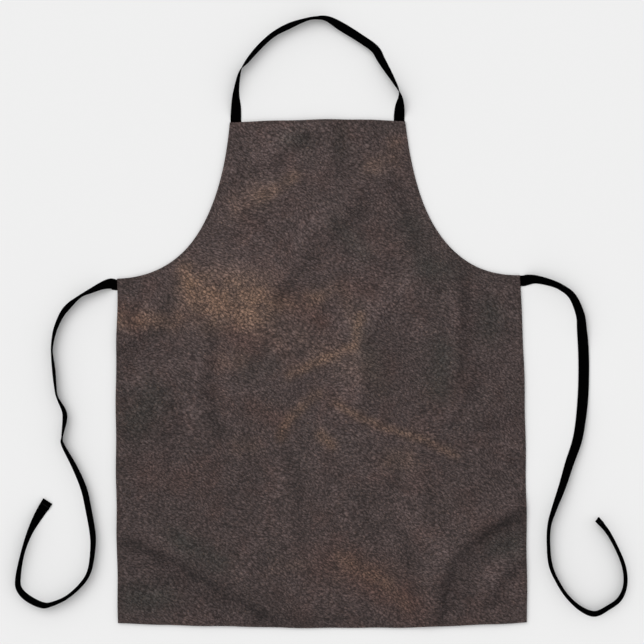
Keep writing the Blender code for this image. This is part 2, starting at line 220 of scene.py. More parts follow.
# Folds in the laid leather: half width, height, then points along the crest
FOLDS = (
    (0.020, 0.0046, (0.200, 0.130), (0.203, 0.040), (0.198, -0.040)),
    (0.018, 0.0036, (0.064, 0.090), (0.052, 0.020), (0.048, -0.048)),
    (0.018, 0.0036, (-0.176, 0.070), (-0.180, 0.000), (-0.178, -0.085)),
    (0.018, 0.0036, (-0.072, -0.100), (-0.060, -0.180), (-0.046, -0.255)),
    (0.020, 0.0040, (0.058, 0.264), (-0.015, 0.202), (-0.075, 0.125)),
    (0.015, 0.0026, (-0.264, 0.134), (-0.296, 0.050)),
    (0.020, 0.0048, (-0.290, -0.226), (-0.186, -0.280), (-0.088, -0.338)),
    (0.018, 0.0046, (0.292, -0.204), (0.212, -0.242), (0.170, -0.312), (0.158, -0.362)),
    (0.015, 0.0034, (0.286, -0.288), (0.240, -0.344)),
    (0.017, 0.0030, (-0.020, 0.364), (-0.118, 0.304)),
    (0.014, 0.0020, (0.020, 0.370), (0.019, 0.332)),
    (0.016, 0.0032, (0.106, 0.284), (0.136, 0.205)),
    (0.016, 0.0026, (0.050, -0.200), (0.050, -0.266)),
    (0.014, 0.0026, (0.116, -0.262), (0.116, -0.314)),
    (0.026, 0.0030, (-0.262, -0.030), (-0.236, -0.066)),
    (0.024, 0.0034, (0.106, -0.096), (0.156, -0.190)),
    (0.022, 0.0026, (-0.130, 0.058), (-0.052, 0.048)),
    (0.018, 0.0022, (-0.120, -0.060), (-0.118, -0.180), (-0.140, -0.240)),
    (0.020, 0.0024, (0.235, -0.060), (0.238, -0.150)),
    (0.016, 0.0020, (-0.060, 0.270), (-0.105, 0.225)),
    (0.016, 0.0020, (0.080, 0.180), (0.100, 0.130)),
)
# Where the finish is rubbed to tan: half width, strength, then points along the rub
RUBS = (
    (0.030, 0.66, (-0.182, 0.128), (-0.096, 0.120)),
    (0.024, 0.50, (-0.160, 0.086), (-0.096, 0.084)),
    (0.012, 0.35, (-0.200, 0.160), (-0.180, 0.100)),
    (0.016, 0.45, (-0.302, 0.083), (-0.215, 0.080)),
    (0.014, 0.32, (-0.060, 0.105), (-0.005, 0.112)),
    (0.012, 0.20, (-0.012, 0.110), (0.031, 0.128), (0.050, 0.085)),
    (0.008, 0.50, (-0.045, -0.002), (0.010, 0.024), (0.053, 0.042), (0.061, 0.087)),
    (0.008, 0.52, (-0.060, -0.094), (-0.045, -0.064), (-0.005, -0.030)),
    (0.009, 0.55, (0.000, -0.092), (0.016, -0.106)),
    (0.007, 0.48, (0.022, -0.044), (0.067, -0.070), (0.111, -0.086), (0.156, -0.101), (0.201, -0.124)),
    (0.016, 0.28, (0.105, -0.130), (0.130, -0.130)),
    (0.020, 0.18, (0.040, -0.288), (0.090, -0.304)),
    (0.010, 0.22, (0.025, -0.272), (0.087, -0.306), (0.124, -0.345)),
    (0.012, 0.12, (-0.070, -0.286), (-0.030, -0.286)),
    (0.014, 0.20, (-0.122, -0.106), (-0.104, -0.106)),
    (0.016, 0.22, (-0.144, 0.022), (-0.124, 0.022)),
    (0.010, 0.35, (-0.078, 0.266), (-0.034, 0.296)),
    (0.016, 0.26, (0.080, 0.311), (0.090, 0.311)),
    (0.012, 0.28, (0.115, 0.322), (0.115, 0.344)),
    (0.020, 0.28, (-0.115, 0.252), (-0.090, 0.268)),
    (0.030, 0.16, (-0.060, 0.060), (0.060, 0.010)),
)
# Where the dye reads cool and dark, in the same order
COOL_PATCHES = (
    (0.022, 0.8, (0.176, -0.025), (0.184, 0.035)),
    (0.022, 0.7, (0.255, 0.060), (0.255, 0.095)),
    (0.018, 0.8, (-0.215, -0.245), (-0.150, -0.282)),
    (0.022, 0.8, (-0.280, -0.336), (-0.235, -0.336)),
    (0.028, 0.8, (-0.275, -0.070), (-0.250, -0.035)),
    (0.020, 0.6, (0.176, 0.153), (0.200, 0.153)),
    (0.022, 0.7, (0.262, -0.259), (0.288, -0.259)),
    (0.022, 0.5, (0.140, 0.220), (0.160, 0.160)),
    (0.014, 0.6, (-0.045, 0.350), (-0.025, 0.350)),
    (0.014, 0.5, (0.035, 0.330), (0.035, 0.360)),
    (0.014, 0.5, (0.025, 0.225), (0.070, 0.180)),
    (0.020, 0.4, (-0.110, 0.015), (-0.070, 0.015)),
    (0.018, 0.5, (0.060, 0.060), (0.090, -0.020)),
)
# Where the dye reads red and warm, in the same order
WARM_PATCHES = (
    (0.034, 0.62, (0.010, -0.285), (0.085, -0.310), (0.130, -0.345)),
    (0.016, 0.60, (-0.296, 0.100), (-0.270, 0.080)),
    (0.018, 0.55, (-0.100, -0.050), (-0.060, -0.070)),
    (0.020, 0.16, (-0.280, -0.140), (-0.190, -0.150)),
    (0.020, 0.50, (-0.050, 0.110), (0.000, 0.080)),
    (0.018, 0.40, (0.040, 0.130), (0.075, 0.120)),
    (0.020, 0.40, (-0.130, 0.060), (-0.100, 0.040)),
)
# Painted shade on the folds' creases and painted highlight on their ridges, broad and narrow, in the same
# order; a negative strength darkens
PAINTED_FOLD_SHADE_AND_HIGHLIGHTS = (
    (0.009, -0.85, (-0.290, -0.250), (-0.219, -0.280), (-0.166, -0.315), (-0.092, -0.358)),
    (0.020, -0.22, (-0.285, -0.275), (-0.210, -0.308), (-0.150, -0.348)),
    (0.012, -0.40, (-0.296, -0.318), (-0.230, -0.308)),
    (0.050, -0.16, (-0.290, -0.345), (-0.190, -0.345), (-0.060, -0.365)),
    (0.014, -0.42, (-0.090, -0.366), (0.000, -0.370), (0.060, -0.366)),
    (0.009, -0.90, (0.300, -0.208), (0.232, -0.249), (0.202, -0.279), (0.182, -0.324), (0.175, -0.366)),
    (0.020, -0.35, (0.290, -0.228), (0.240, -0.266), (0.212, -0.305), (0.200, -0.352)),
    (0.009, -0.60, (0.300, -0.279), (0.269, -0.309), (0.247, -0.352)),
    (0.012, 0.34, (0.296, -0.262), (0.256, -0.292), (0.232, -0.330)),
    (0.014, 0.44, (0.127, -0.226), (0.165, -0.250), (0.194, -0.268)),
    (0.009, -0.45, (0.124, -0.244), (0.132, -0.290), (0.136, -0.330)),
    (0.013, 0.44, (0.136, -0.125), (0.126, -0.210)),
    (0.010, -0.28, (0.060, -0.190), (0.078, -0.240)),
    (0.010, -0.50, (-0.064, -0.092), (-0.038, -0.160), (-0.032, -0.245)),
    (0.012, 0.40, (-0.080, -0.085), (-0.056, -0.160), (-0.052, -0.240)),
    (0.010, -0.55, (-0.160, 0.066), (-0.169, -0.017), (-0.149, -0.088)),
    (0.014, 0.40, (-0.180, 0.055), (-0.189, -0.060)),
    (0.012, 0.36, (-0.136, 0.040), (-0.138, -0.030)),
    (0.010, -0.45, (-0.057, 0.125), (-0.088, 0.038), (-0.108, -0.006)),
    (0.011, -0.50, (-0.215, 0.140), (-0.238, 0.066), (-0.296, 0.036)),
    (0.014, 0.62, (-0.250, 0.124), (-0.276, 0.070)),
    (0.012, 0.36, (-0.206, 0.020), (-0.270, -0.005)),
    (0.012, -0.32, (-0.294, -0.030), (-0.252, -0.020), (-0.220, -0.045)),
    (0.030, -0.24, (-0.270, -0.075), (-0.230, -0.060)),
    (0.010, -0.50, (0.220, 0.146), (0.211, 0.060), (0.209, -0.006), (0.220, -0.036)),
    (0.024, -0.18, (0.232, 0.120), (0.228, -0.010)),
    (0.010, 0.50, (0.203, 0.118), (0.195, 0.020)),
    (0.012, -0.26, (0.300, -0.064), (0.250, -0.080), (0.205, -0.082)),
    (0.010, -0.42, (0.110, 0.098), (0.080, 0.064), (0.070, 0.000), (0.066, -0.056)),
    (0.014, 0.58, (0.140, 0.144), (0.088, 0.100), (0.060, 0.060), (0.052, -0.030)),
    (0.030, -0.12, (0.110, 0.050), (0.100, -0.030)),
    (0.009, -0.55, (0.070, 0.246), (0.010, 0.192), (-0.034, 0.147), (-0.060, 0.112)),
    (0.016, 0.26, (0.030, 0.240), (-0.030, 0.190)),
    (0.012, -0.30, (0.112, 0.278), (0.145, 0.205)),
    (0.009, -0.42, (-0.014, 0.352), (-0.066, 0.316), (-0.120, 0.286)),
    (0.012, 0.66, (-0.040, 0.362), (-0.092, 0.330)),
    (0.013, 0.44, (-0.070, 0.290), (-0.140, 0.246)),
    (0.009, -0.26, (-0.090, 0.244), (-0.154, 0.206)),
    (0.009, -0.40, (0.028, 0.368), (0.033, 0.304)),
    (0.016, 0.34, (0.080, 0.330), (0.094, 0.306)),
    (0.014, -0.20, (-0.090, -0.140), (-0.130, -0.170)),
    (0.055, 0.40, (-0.080, 0.330), (-0.100, 0.240), (-0.140, 0.160)),
    (0.055, 0.24, (-0.010, 0.340), (0.000, 0.230), (0.060, 0.130)),
    (0.055, 0.50, (-0.190, 0.120), (-0.090, 0.090)),
    (0.055, 0.24, (-0.110, 0.010), (0.010, 0.030), (0.020, -0.080)),
    (0.050, -0.10, (-0.240, -0.180), (-0.140, -0.200)),
    (0.045, 0.34, (0.040, 0.040), (0.100, 0.090)),
    (0.030, 0.30, (-0.110, 0.160), (-0.060, 0.140)),
)

# The view from straight overhead
ROLL_OF_VIEW = math.radians(-0.575)
CAMERA_HEIGHT = 4.0
FRAME_WIDTH = 0.9625
FRAME_CENTRE = (0.0037, 0.0770)
SENSOR_WIDTH = 36.0

# Soft light and the table
KEY_STRENGTH = 1.05
KEY_SPREAD = math.radians(50)
KEY_FROM = (-0.52, 0.58, 1.0)
FILL_STRENGTH = 0.795
TABLE_REACH = 12.0
TABLE_DROP = 0.0003


def srgb(red, green, blue):
    """Linear colour of an 8-bit display colour: the usual 2.4 power with its straight foot."""
    shares = [channel / 255 for channel in (red, green, blue)]
    return tuple(c / 12.92 if c <= 0.04045 else ((c + 0.055) / 1.055) ** 2.4 for c in shares)


def size(name, default, description):
    return FloatProperty(name=name, description=description, default=default, min=0.0, unit="LENGTH",
                         precision=5)


def colour(name, default, description):
    return FloatVectorProperty(name=name, description=description, default=default, subtype="COLOR",
                               size=3, min=0.0, max=1.0)


class ApronSizes(PropertyGroup):
    """Sizes that give the leather, hem and stitches their section."""

    leather: size("Leather", 0.0014, "Thickness of one layer of leather")
    hem: size("Hem", 0.0125, "Width of the hem turned under")
    stitch_inset: size("Stitch inset", 0.0035, "Distance of the hem's stitches from its edge")
    stitch_pitch: size("Stitch pitch", 0.0034, "Distance from one stitch to the next")
    thread: size("Thread", 0.0007, "Thickness of the sewing thread")
    tape: size("Tape", 0.0010, "Thickness of the strap tape")
    tip_fold: size("Tip fold", 0.0130, "Length of tape turned back at a tie's tip")


class ApronColours(PropertyGroup):
    """Colours of the finishes."""

    hide: colour("Leather", srgb(69, 58, 57), "Waxed brown of the grain side")
    rubbed: colour("Rubbed leather", srgb(128, 98, 74), "Tan that shows where the wax is rubbed off")
    russet: colour("Russet cast", srgb(82, 54, 46), "Red-brown cloud in the dye")
    cool: colour("Cool cast", srgb(47, 48, 45), "Green-grey cloud in the dye")
    crevice: colour("Grain valleys", srgb(36, 29, 27), "Dark wax between the pebbles")
    flesh: colour("Flesh side", srgb(120, 98, 80), "Napped back of the leather")
    cut: colour("Cut edge", srgb(96, 76, 62), "Raw cut edge of the hem")
    tape: colour("Tape", (0.0006, 0.0006, 0.0007), "Black of the strap tape")
    thread: colour("Thread", srgb(60, 50, 47), "Dark brown sewing thread")
    table: colour("Table", (0.82, 0.82, 0.82), "Pale surface under the apron")


# ---------------------------------------------------------------- flat pattern


def top_edge_y(x):
    """The top edge is a parabola, TOP_BOW high between the bib's corners."""
    return PANEL_TOP_Y - TOP_BOW * (2 * x / BIB_WIDTH) ** 2


def evenly(points, count):
    """A point row walked again in equal steps of its own length."""
    walked = walked_length(points)
    stops = np.linspace(0.0, walked[-1], count + 1)
    return np.column_stack([np.interp(stops, walked, column) for column in points.T])


def armhole_curve(count):
    """One cubic Bezier from the bib's corner down and out to the waist's corner."""
    bib = np.array((BIB_WIDTH / 2, TOP_CORNER_Y))
    waist = np.array((WAIST_WIDTH / 2, WAIST_Y))
    down = np.array((math.sin(ARMHOLE_DROP_ANGLE), -math.cos(ARMHOLE_DROP_ANGLE)))
    drop_handle = bib + ARMHOLE_DROP_HANDLE * down
    side_handle = waist - (ARMHOLE_SIDE_HANDLE, 0.0)
    t = np.linspace(0.0, 1.0, 400)[:, None]
    curve = (1 - t) ** 3 * bib + 3 * (1 - t) ** 2 * t * drop_handle
    curve = curve + 3 * (1 - t) * t**2 * side_handle + t**3 * waist
    return evenly(curve, count)


def pattern_edges():
    """The six edges of the flat pattern as point rows, anticlockwise from the bottom left corner."""
    across = np.linspace(-1.0, 1.0, COLUMNS + 1)
    bottom = np.column_stack((across * PANEL_WIDTH / 2, BOTTOM_CORNER_Y - BOTTOM_BOW * (1 - across**2)))
    top_x = -np.linspace(-1.0, 1.0, BIB_COLUMNS + 1) * BIB_WIDTH / 2
    armhole = armhole_curve(ARMHOLE_ROWS)
    mirror = np.array((-1.0, 1.0))
    side = evenly(np.array((bottom[-1], armhole[-1])), SIDE_ROWS)
    return {
        "bottom": bottom,
        "side_right": side,
        "armhole_right": armhole[::-1],
        "top": np.column_stack((top_x, top_edge_y(top_x))),
        "armhole_left": armhole * mirror,
        "side_left": side[::-1] * mirror,
    }


def walked_length(path):
    """Distance walked along a point row, at each of its points."""
    return np.concatenate(([0.0], np.cumsum(np.linalg.norm(np.diff(path, axis=0), axis=1))))


def mitre(first, second):
    """From a corner to where its two edges cross once both have moved inwards by one.

    It is the sum of their inward normals over one more than the normals' dot product.
    """
    return (first + second) / (1 + first @ second)


def inset_edges(distance):
    """The six edges moved inwards by a distance, in even steps, each cut off where it meets the next."""
    edges = pattern_edges()
    ahead = {name: np.gradient(edge, axis=0) for name, edge in edges.items()}
    ahead = {name: steps / np.linalg.norm(steps, axis=1)[:, None] for name, steps in ahead.items()}
    inward = {name: np.column_stack((-steps[:, 1], steps[:, 0])) for name, steps in ahead.items()}
    names = list(edges)
    inset = {}
    for place, name in enumerate(names):
        edge = edges[name]
        walked = walked_length(edge)
        start = distance * mitre(inward[names[place - 1]][-1], inward[name][0])
        end = distance * mitre(inward[name][-1], inward[names[(place + 1) % len(names)]][0])
        stops = np.linspace(start @ ahead[name][0], walked[-1] + end @ ahead[name][-1], len(edge))
        moved = edge + distance * inward[name]
        moved = np.column_stack([np.interp(stops, walked, column) for column in moved.T])
        share = np.linspace(0.0, 1.0, len(edge))[:, None]
        off_start, off_end = edge[0] + start - moved[0], edge[-1] + end - moved[-1]
        inset[name] = moved + (1 - share) * off_start + share * off_end
    return inset


def closed_outline(edges):
    """The six edges as one row of points round the pattern."""
    return np.concatenate([edge[:-1] for edge in edges.values()])


def traces(x, y, rows):
    """Sum of soft lines: each one's strength times exp of minus the squared distance in half widths."""
    total = np.zeros_like(x)
    for half_width, strength, *line in rows:
        nearest = np.full_like(x, np.inf)
        for start, end in zip(line[:-1], line[1:]):
            run_x, run_y = end[0] - start[0], end[1] - start[1]
            share = ((x - start[0]) * run_x + (y - start[1]) * run_y) / (run_x**2 + run_y**2)
            share = np.clip(share, 0.0, 1.0)
            away = (x - start[0] - share * run_x) ** 2 + (y - start[1] - share * run_y) ** 2
            nearest = np.minimum(nearest, away)
        total += strength * np.exp(-nearest / half_width**2)
    return total


def tail_lift(x, y, tape):
    """The hem rides over the four sewn tails: a flat-topped bump, one tape high, over each of them."""
    ax = np.abs(x)
    reach = TAIL_LENGTH + ROOT_STUB
    half_width = TAPE_WIDTH / 2 + TAIL_MARGIN

    def plateau(offset, half):
        return 0.5 - 0.5 * np.tanh((np.abs(offset) - half) / TAIL_SOFTNESS * 2.2)

    neck = plateau(ax - NECK_X, half_width) * plateau(y - NECK_ROOT_Y, reach)
    tie = plateau(y - TIE_Y, half_width) * plateau(ax - TIE_ROOT_X, reach)
    return (tape + TAIL_GAP) * np.clip((neck + tie) * 1.02, 0.0, 1.0)


def settle(points, tape):
    """Lays pattern points on the table: folds and low swells lift them, and the outline sways a little.

    The lift is the sum of the fold strokes and three crossing sine swells, never below the table. In the
    plane, a sine of the way down bows both side seams outwards, and the lower part is skewed and waved.
    Bell curves shift the armholes sideways and turn their lower ends by a millimetre, and every edge
    wanders by a fraction of one.
    """
    x, y, z = points.T
    swell = 0.0007 * (1 + np.sin(17.0 * x + 9.0 * y + 0.6)) + 0.0005 * (1 + np.sin(23.0 * y - 14.0 * x))
    swell = swell + 0.0003 * (1 + np.sin(47.0 * x + 31.0 * y + 2.0))
    folds = traces(x, y, FOLDS)
    tails = tail_lift(x, y, tape)
    calm = 1 - np.clip(tails / tape, 0.0, 1.0)
    lift = calm * (swell + folds) + tails
    down_side = np.clip((WAIST_Y - y) / SIDE_LENGTH, 0.0, 1.0)
    side_share = (2 * x / PANEL_WIDTH) ** 5
    bow = 0.0026 * np.sin(math.pi * down_side**0.8) - 0.0012 * np.exp(-((y - 0.10) / 0.05) ** 2)
    bow = side_share * bow
    wander_x = side_share * 0.0004 * np.sin(61.0 * y + 2.2 * np.sign(x))
    end_share = np.clip(np.abs(y) / PANEL_TOP_Y, 0.0, 1.0) ** 9
    wander_y = end_share * 0.0003 * (np.sin(83.0 * x + 1.0) + np.sin(37.0 * x))
    low_share = np.clip(-y / PANEL_TOP_Y, 0.0, 1.0) ** 4
    high_share = np.clip(y / PANEL_TOP_Y, 0.0, 1.0) ** 6
    skew = low_share * np.where(x < 0, -0.0085, -0.0035) * x - 0.0005 * high_share
    skew = skew - low_share * 0.0012 * np.sin(math.pi * x / 0.36)
    drift = -0.0013 * np.exp(-(((y - 0.215) / 0.075) ** 2)) * np.clip(np.abs(x) / 0.14, 0.0, 1.0)
    waist_share = np.exp(-(((np.abs(x) - 0.24) / 0.06) ** 2) - ((y - 0.17) / 0.045) ** 2)
    sag = -0.005 * x * waist_share
    return np.column_stack((x + bow + wander_x + drift, y + wander_y + skew + sag, z + lift))


# ---------------------------------------------------------------- mesh helpers


def welded(points, quads):
    """Joins points that share a place, so that patches meet in one closed skin."""
    _, first, index = np.unique(np.round(points, 6), axis=0, return_index=True, return_inverse=True)
    return points[first], index.reshape(-1)[quads]


def grid_quads(rows, columns, start=0):
    """Quads over a grid whose points run row by row, facing the side where columns turn left of rows."""
    corner = start + np.arange(rows - 1)[:, None] * columns + np.arange(columns - 1)[None, :]
    corner = corner.reshape(-1)
    return np.stack((corner, corner + 1, corner + columns + 1, corner + columns), axis=1)


def tube_quads(rings, sides, start=0):
    """Quads round a tube whose rings run one after another."""
    ring = np.arange(rings - 1)[:, None] * sides
    side = np.arange(sides)[None, :]
    after = (side + 1) % sides
    here = start + ring + side
    ahead = start + ring + after
    return np.stack((here, ahead, ahead + sides, here + sides), axis=-1).reshape(-1, 4)


def add_piece(name, points, quads, looks, slots=None, smooth=True):
    """Makes a mesh object at the origin from its points and four-cornered faces."""
    mesh = bpy.data.meshes.new(name)
    mesh.from_pydata(points.tolist(), [], quads.tolist())
    for look in looks:
        mesh.materials.append(look)
    if slots is not None:
        mesh.polygons.foreach_set("material_index", np.asarray(slots, np.int32))
    mesh.polygons.foreach_set("use_smooth", np.full(len(mesh.polygons), smooth))
    mesh.validate()
    mesh.update()
    piece = bpy.data.objects.new(name, mesh)
    bpy.context.scene.collection.objects.link(piece)
    return piece


def add_attribute(piece, name, values):
    """Stores one number per point for the materials."""
    attribute = piece.data.attributes.new(name, "FLOAT", "POINT")
    attribute.data.foreach_set("value", np.asarray(values, np.float32))


def add_uv(piece, point_uv):
    """Gives the mesh a UV map in metres from one pair of numbers per point."""
    layer = piece.data.uv_layers.new(name="tape")
    corner_points = np.empty(len(piece.data.loops), np.int32)
    piece.data.loops.foreach_get("vertex_index", corner_points)
    layer.data.foreach_set("uv", point_uv[corner_points].astype(np.float32).ravel())


# ---------------------------------------------------------------- shader groups


def new_group(name, inputs, outputs):
    """A shader group with named number, colour or vector sockets; returns it with its two end nodes."""
    group = bpy.data.node_groups.new(name, "ShaderNodeTree")
    for label, kind, default in inputs:
        socket = group.interface.new_socket(name=label, in_out="INPUT", socket_type=f"NodeSocket{kind}")
        if default is not None:
            socket.default_value = default
    for label, kind in outputs:
        group.interface.new_socket(name=label, in_out="OUTPUT", socket_type=f"NodeSocket{kind}")
    return group, group.nodes.new("NodeGroupInput"), group.nodes.new("NodeGroupOutput")


def connect(tree, target, value):
    """Links a socket to the target, or sets the target's constant."""
    if isinstance(value, bpy.types.NodeSocket):
        tree.links.new(value, target)
    elif value is not None:
        target.default_value = value


def math_node(tree, operation, first, second=None, third=None, clamp=False):
    node = tree.nodes.new("ShaderNodeMath")
    node.operation = operation
    node.use_clamp = clamp
    for socket, value in zip(node.inputs, (first, second, third)):
        connect(tree, socket, value)
    return node.outputs[0]


def vector_node(tree, operation, first, second=None):
    node = tree.nodes.new("ShaderNodeVectorMath")
    node.operation = operation
    for socket, value in zip(node.inputs, (first, second)):
        connect(tree, socket, value)
    return node.outputs[0]


def ramp_node(tree, value, low, high, out_low=0.0, out_high=1.0):
    """Smoothly maps low..high of a value to out_low..out_high."""
    node = tree.nodes.new("ShaderNodeMapRange")
    node.interpolation_type = "SMOOTHSTEP"
    for label, number in (("Value", value), ("From Min", low), ("From Max", high),
                          ("To Min", out_low), ("To Max", out_high)):
        connect(tree, node.inputs[label], number)
    return node.outputs["Result"]


def noise_node(tree, vector, scale, detail=2.0, roughness=0.5, distortion=0.0):
    node = tree.nodes.new("ShaderNodeTexNoise")
    for label, value in (("Vector", vector), ("Scale", scale), ("Detail", detail),
                         ("Roughness", roughness), ("Distortion", distortion)):
        connect(tree, node.inputs[label], value)
    return node


def voronoi_node(tree, vector, scale, feature="F1", smoothness=None):
    node = tree.nodes.new("ShaderNodeTexVoronoi")
    node.feature = feature
    connect(tree, node.inputs["Vector"], vector)
    connect(tree, node.inputs["Scale"], scale)
    if smoothness is not None:
        connect(tree, node.inputs["Smoothness"], smoothness)
    return node


def mix_node(tree, share, first, second, blend="MIX"):
    node = tree.nodes.new("ShaderNodeMix")
    node.data_type = "RGBA"
    node.blend_type = blend
    connect(tree, node.inputs["Factor"], share)
    connect(tree, node.inputs["A"], first)
    connect(tree, node.inputs["B"], second)
    return node.outputs["Result"]


def pebbled_grain_group():
    """Leather grain: stretched, wandering cells with round tops and dark valleys, and finer cells on top."""
    group, given, made = new_group(
        "Pebbled grain",
        (("Vector", "Vector", None), ("Cells per metre", "Float", 164.0), ("Direction", "Float", -0.52),
         ("Stretch", "Float", 1.75), ("Wander", "Float", 0.0032)),
        (("Height", "Float"), ("Valley", "Float"), ("Cell tone", "Float"), ("Streak highlight", "Float"),
         ("Speck", "Float")),
    )
    turn = group.nodes.new("ShaderNodeVectorRotate")
    turn.rotation_type = "Z_AXIS"
    swirl = noise_node(group, given.outputs["Vector"], 9.0, 1.0).outputs["Color"]
    swirl = vector_node(group, "SUBTRACT", swirl, (0.5, 0.5, 0.5))
    swirl = vector_node(group, "MULTIPLY", swirl, (0.034, 0.034, 0.0))
    connect(group, turn.inputs["Vector"], vector_node(group, "ADD", given.outputs["Vector"], swirl))
    connect(group, turn.inputs["Angle"], math_node(group, "MULTIPLY", given.outputs["Direction"], -1.0))
    stretch = group.nodes.new("ShaderNodeCombineXYZ")
    stretch.inputs["X"].default_value = 1.0
    stretch.inputs["Z"].default_value = 1.0
    connect(group, stretch.inputs["Y"], given.outputs["Stretch"])
    laid = vector_node(group, "MULTIPLY", turn.outputs[0], stretch.outputs[0])
    drift = noise_node(group, laid, 95.0, 2.0).outputs["Color"]
    drift = vector_node(group, "SUBTRACT", drift, (0.5, 0.5, 0.5))
    scaled = group.nodes.new("ShaderNodeVectorMath")
    scaled.operation = "SCALE"
    connect(group, scaled.inputs[0], drift)
    connect(group, scaled.inputs["Scale"], given.outputs["Wander"])
    place = vector_node(group, "ADD", laid, scaled.outputs[0])
    cells = voronoi_node(group, place, given.outputs["Cells per metre"], "SMOOTH_F1", 0.35)
    edge = voronoi_node(group, place, given.outputs["Cells per metre"], "DISTANCE_TO_EDGE")
    fine_scale = math_node(group, "MULTIPLY", given.outputs["Cells per metre"], 2.7)
    fine = voronoi_node(group, place, fine_scale, "SMOOTH_F1", 0.5)
    dome = math_node(group, "SUBTRACT", 1.0, cells.outputs["Distance"])
    fine_dome = math_node(group, "SUBTRACT", 1.0, fine.outputs["Distance"])
    # Streaks along the grain raise its ridges; their output is used as painted highlight on those ridges
    streak_scale = math_node(group, "MULTIPLY", given.outputs["Cells per metre"], 1.35)
    streaks = noise_node(group, place, streak_scale, 2.0, 0.55)
    streak = ramp_node(group, streaks.outputs["Fac"], 0.36, 0.66)
    connect(group, made.inputs["Streak highlight"], streak)
    height = math_node(group, "MULTIPLY_ADD", fine_dome, 0.25, dome)
    connect(group, made.inputs["Height"], math_node(group, "MULTIPLY_ADD", streak, 0.45, height))
    connect(group, made.inputs["Valley"], ramp_node(group, edge.outputs["Distance"], 0.0, 0.22, 1.0, 0.0))
    tone = group.nodes.new("ShaderNodeSeparateColor")
    connect(group, tone.inputs[0], cells.outputs["Color"])
    connect(group, made.inputs["Cell tone"], tone.outputs[0])
    speck_scale = math_node(group, "MULTIPLY", given.outputs["Cells per metre"], 3.1)
    specks = noise_node(group, place, speck_scale, 1.0)
    connect(group, made.inputs["Speck"], ramp_node(group, specks.outputs["Fac"], 0.58, 0.78))
    return group


def dye_cloud_group():
    """Uneven dye: the high and low ends of a slow noise pick two casts, and a quicker one sets the tone."""
    group, given, made = new_group(
        "Dye clouds",
        (("Vector", "Vector", None), ("Clouds per metre", "Float", 16.0)),
        (("Russet", "Float"), ("Cool", "Float"), ("Tone", "Float")),
    )
    slow = noise_node(group, given.outputs["Vector"], given.outputs["Clouds per metre"], 4.0, 0.6, 0.4)
    connect(group, made.inputs["Russet"], ramp_node(group, slow.outputs["Fac"], 0.48, 0.68))
    connect(group, made.inputs["Cool"], ramp_node(group, slow.outputs["Fac"], 0.50, 0.34))
    quick_scale = math_node(group, "MULTIPLY", given.outputs["Clouds per metre"], 2.6)
    quicker = noise_node(group, given.outputs["Vector"], quick_scale, 2.0, 0.50, 0.2)
    connect(group, made.inputs["Tone"], quicker.outputs["Fac"])
    return group


def nap_group():
    """Short brushed fibres: a fine noise stretched along one direction over a softer mottle."""
    group, given, made = new_group(
        "Brushed nap",
        (("Vector", "Vector", None), ("Fibres per metre", "Float", 1400.0)),
        (("Height", "Float"), ("Tone", "Float")),
    )
    drawn = vector_node(group, "MULTIPLY", given.outputs["Vector"], (1.0, 0.3, 1.0))
    fibre = noise_node(group, drawn, given.outputs["Fibres per metre"], 3.0, 0.7, 0.6)
    mottle = noise_node(group, given.outputs["Vector"], 60.0, 4.0, 0.6)
    connect(group, made.inputs["Height"], fibre.outputs["Fac"])
    fibre_tone = math_node(group, "MULTIPLY", fibre.outputs["Fac"], 0.3)
    tone = math_node(group, "MULTIPLY_ADD", mottle.outputs["Fac"], 0.7, fibre_tone)
    connect(group, made.inputs["Tone"], tone)
    return group


def twill_group():
    """Twill weave on a UV in metres: diagonal ribs, broken across by each yarn, under a fine fuzz."""
    group, given, made = new_group(
        "Twill weave",
        (("Vector", "Vector", None), ("Rib pitch", "Float", 0.00085)),
        (("Height", "Float"), ("Yarn highlight", "Float")),
    )
    split = group.nodes.new("ShaderNodeSeparateXYZ")
    connect(group, split.inputs[0], given.outputs["Vector"])
    turns = math_node(group, "DIVIDE", 2 * math.pi, given.outputs["Rib pitch"])
    diagonal = math_node(group, "ADD", split.outputs["X"], split.outputs["Y"])
    rib = math_node(group, "SINE", math_node(group, "MULTIPLY", diagonal, turns))
    steep = math_node(group, "MULTIPLY", split.outputs["Y"], 2.2)
    across = math_node(group, "SUBTRACT", split.outputs["X"], steep)
    yarn = math_node(group, "SINE", math_node(group, "MULTIPLY", across, turns))
    wave = math_node(group, "MULTIPLY_ADD", yarn, 0.35, rib)
    fuzz = noise_node(group, given.outputs["Vector"], 2600.0, 2.0)
    wave = math_node(group, "MULTIPLY", wave, 0.5)
    height = math_node(group, "MULTIPLY_ADD", fuzz.outputs["Fac"], 0.5, wave)
    connect(group, made.inputs["Height"], height)
    # The same height as painted highlight: the yarns that stand up are paler
    connect(group, made.inputs["Yarn highlight"], ramp_node(group, height, -0.4, 0.9))
    return group


# ---------------------------------------------------------------- materials


def new_material(name, roughness, specular):
    """A material with its Principled shader's steady values set, and its tree and shader."""
    made = bpy.data.materials.new(name)
    made.use_nodes = True
    tree = made.node_tree
    shader = tree.nodes["Principled BSDF"]
    shader.inputs["Roughness"].default_value = roughness
    shader.inputs["Specular IOR Level"].default_value = specular
    return made, tree, shader


def placed_group(tree, group, vector, **values):
    """One copy of a group in a material, with its vector linked and its named numbers set."""
    node = tree.nodes.new("ShaderNodeGroup")
    node.node_tree = group
    connect(tree, node.inputs["Vector"], vector)
    for label, value in values.items():
        connect(tree, node.inputs[label.replace("_", " ")], value)
    return node


def bump(tree, shader, height, depth):
    node = tree.nodes.new("ShaderNodeBump")
    node.inputs["Distance"].default_value = depth
    connect(tree, node.inputs["Height"], height)
    connect(tree, shader.inputs["Normal"], node.outputs["Normal"])


def object_place(tree):
    return tree.nodes.new("ShaderNodeTexCoord").outputs["Object"]


def attribute_value(tree, name):
    node = tree.nodes.new("ShaderNodeAttribute")
    node.attribute_name = name
    return node.outputs["Fac"]


